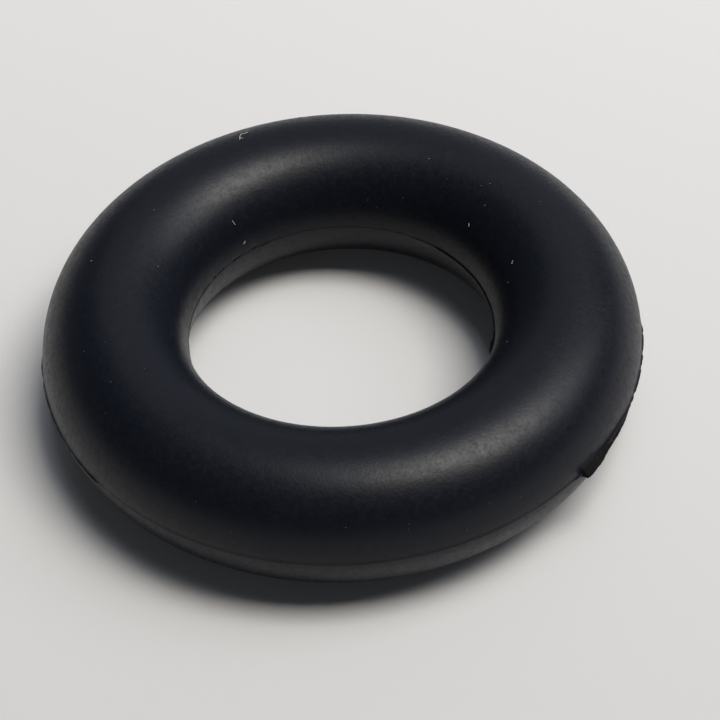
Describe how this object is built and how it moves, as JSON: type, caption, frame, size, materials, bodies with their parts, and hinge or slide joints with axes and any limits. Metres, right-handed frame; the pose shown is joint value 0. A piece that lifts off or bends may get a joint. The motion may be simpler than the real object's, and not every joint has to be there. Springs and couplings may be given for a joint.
{
  "type": "o-ring",
  "caption": "Black rubber o-ring of round section, for sealing a shaft or fitting, with thin mould flash at its parting line and a torn spur of it.",
  "frame": {"origin": "centre of the ring, on its parting plane, halfway up its section", "axes": "+Z along the ring's axis, upwards as it lies flat; the torn spur is 44 degrees clockwise from +X, seen from above"},
  "size_m": [0.0146, 0.0146, 0.0036],
  "materials": {
    "rubber": "satin black moulded nitrile, a little dusty"
  },
  "bodies": {
    "root": {"o_ring": "rubber"}
  },
  "joints": []
}
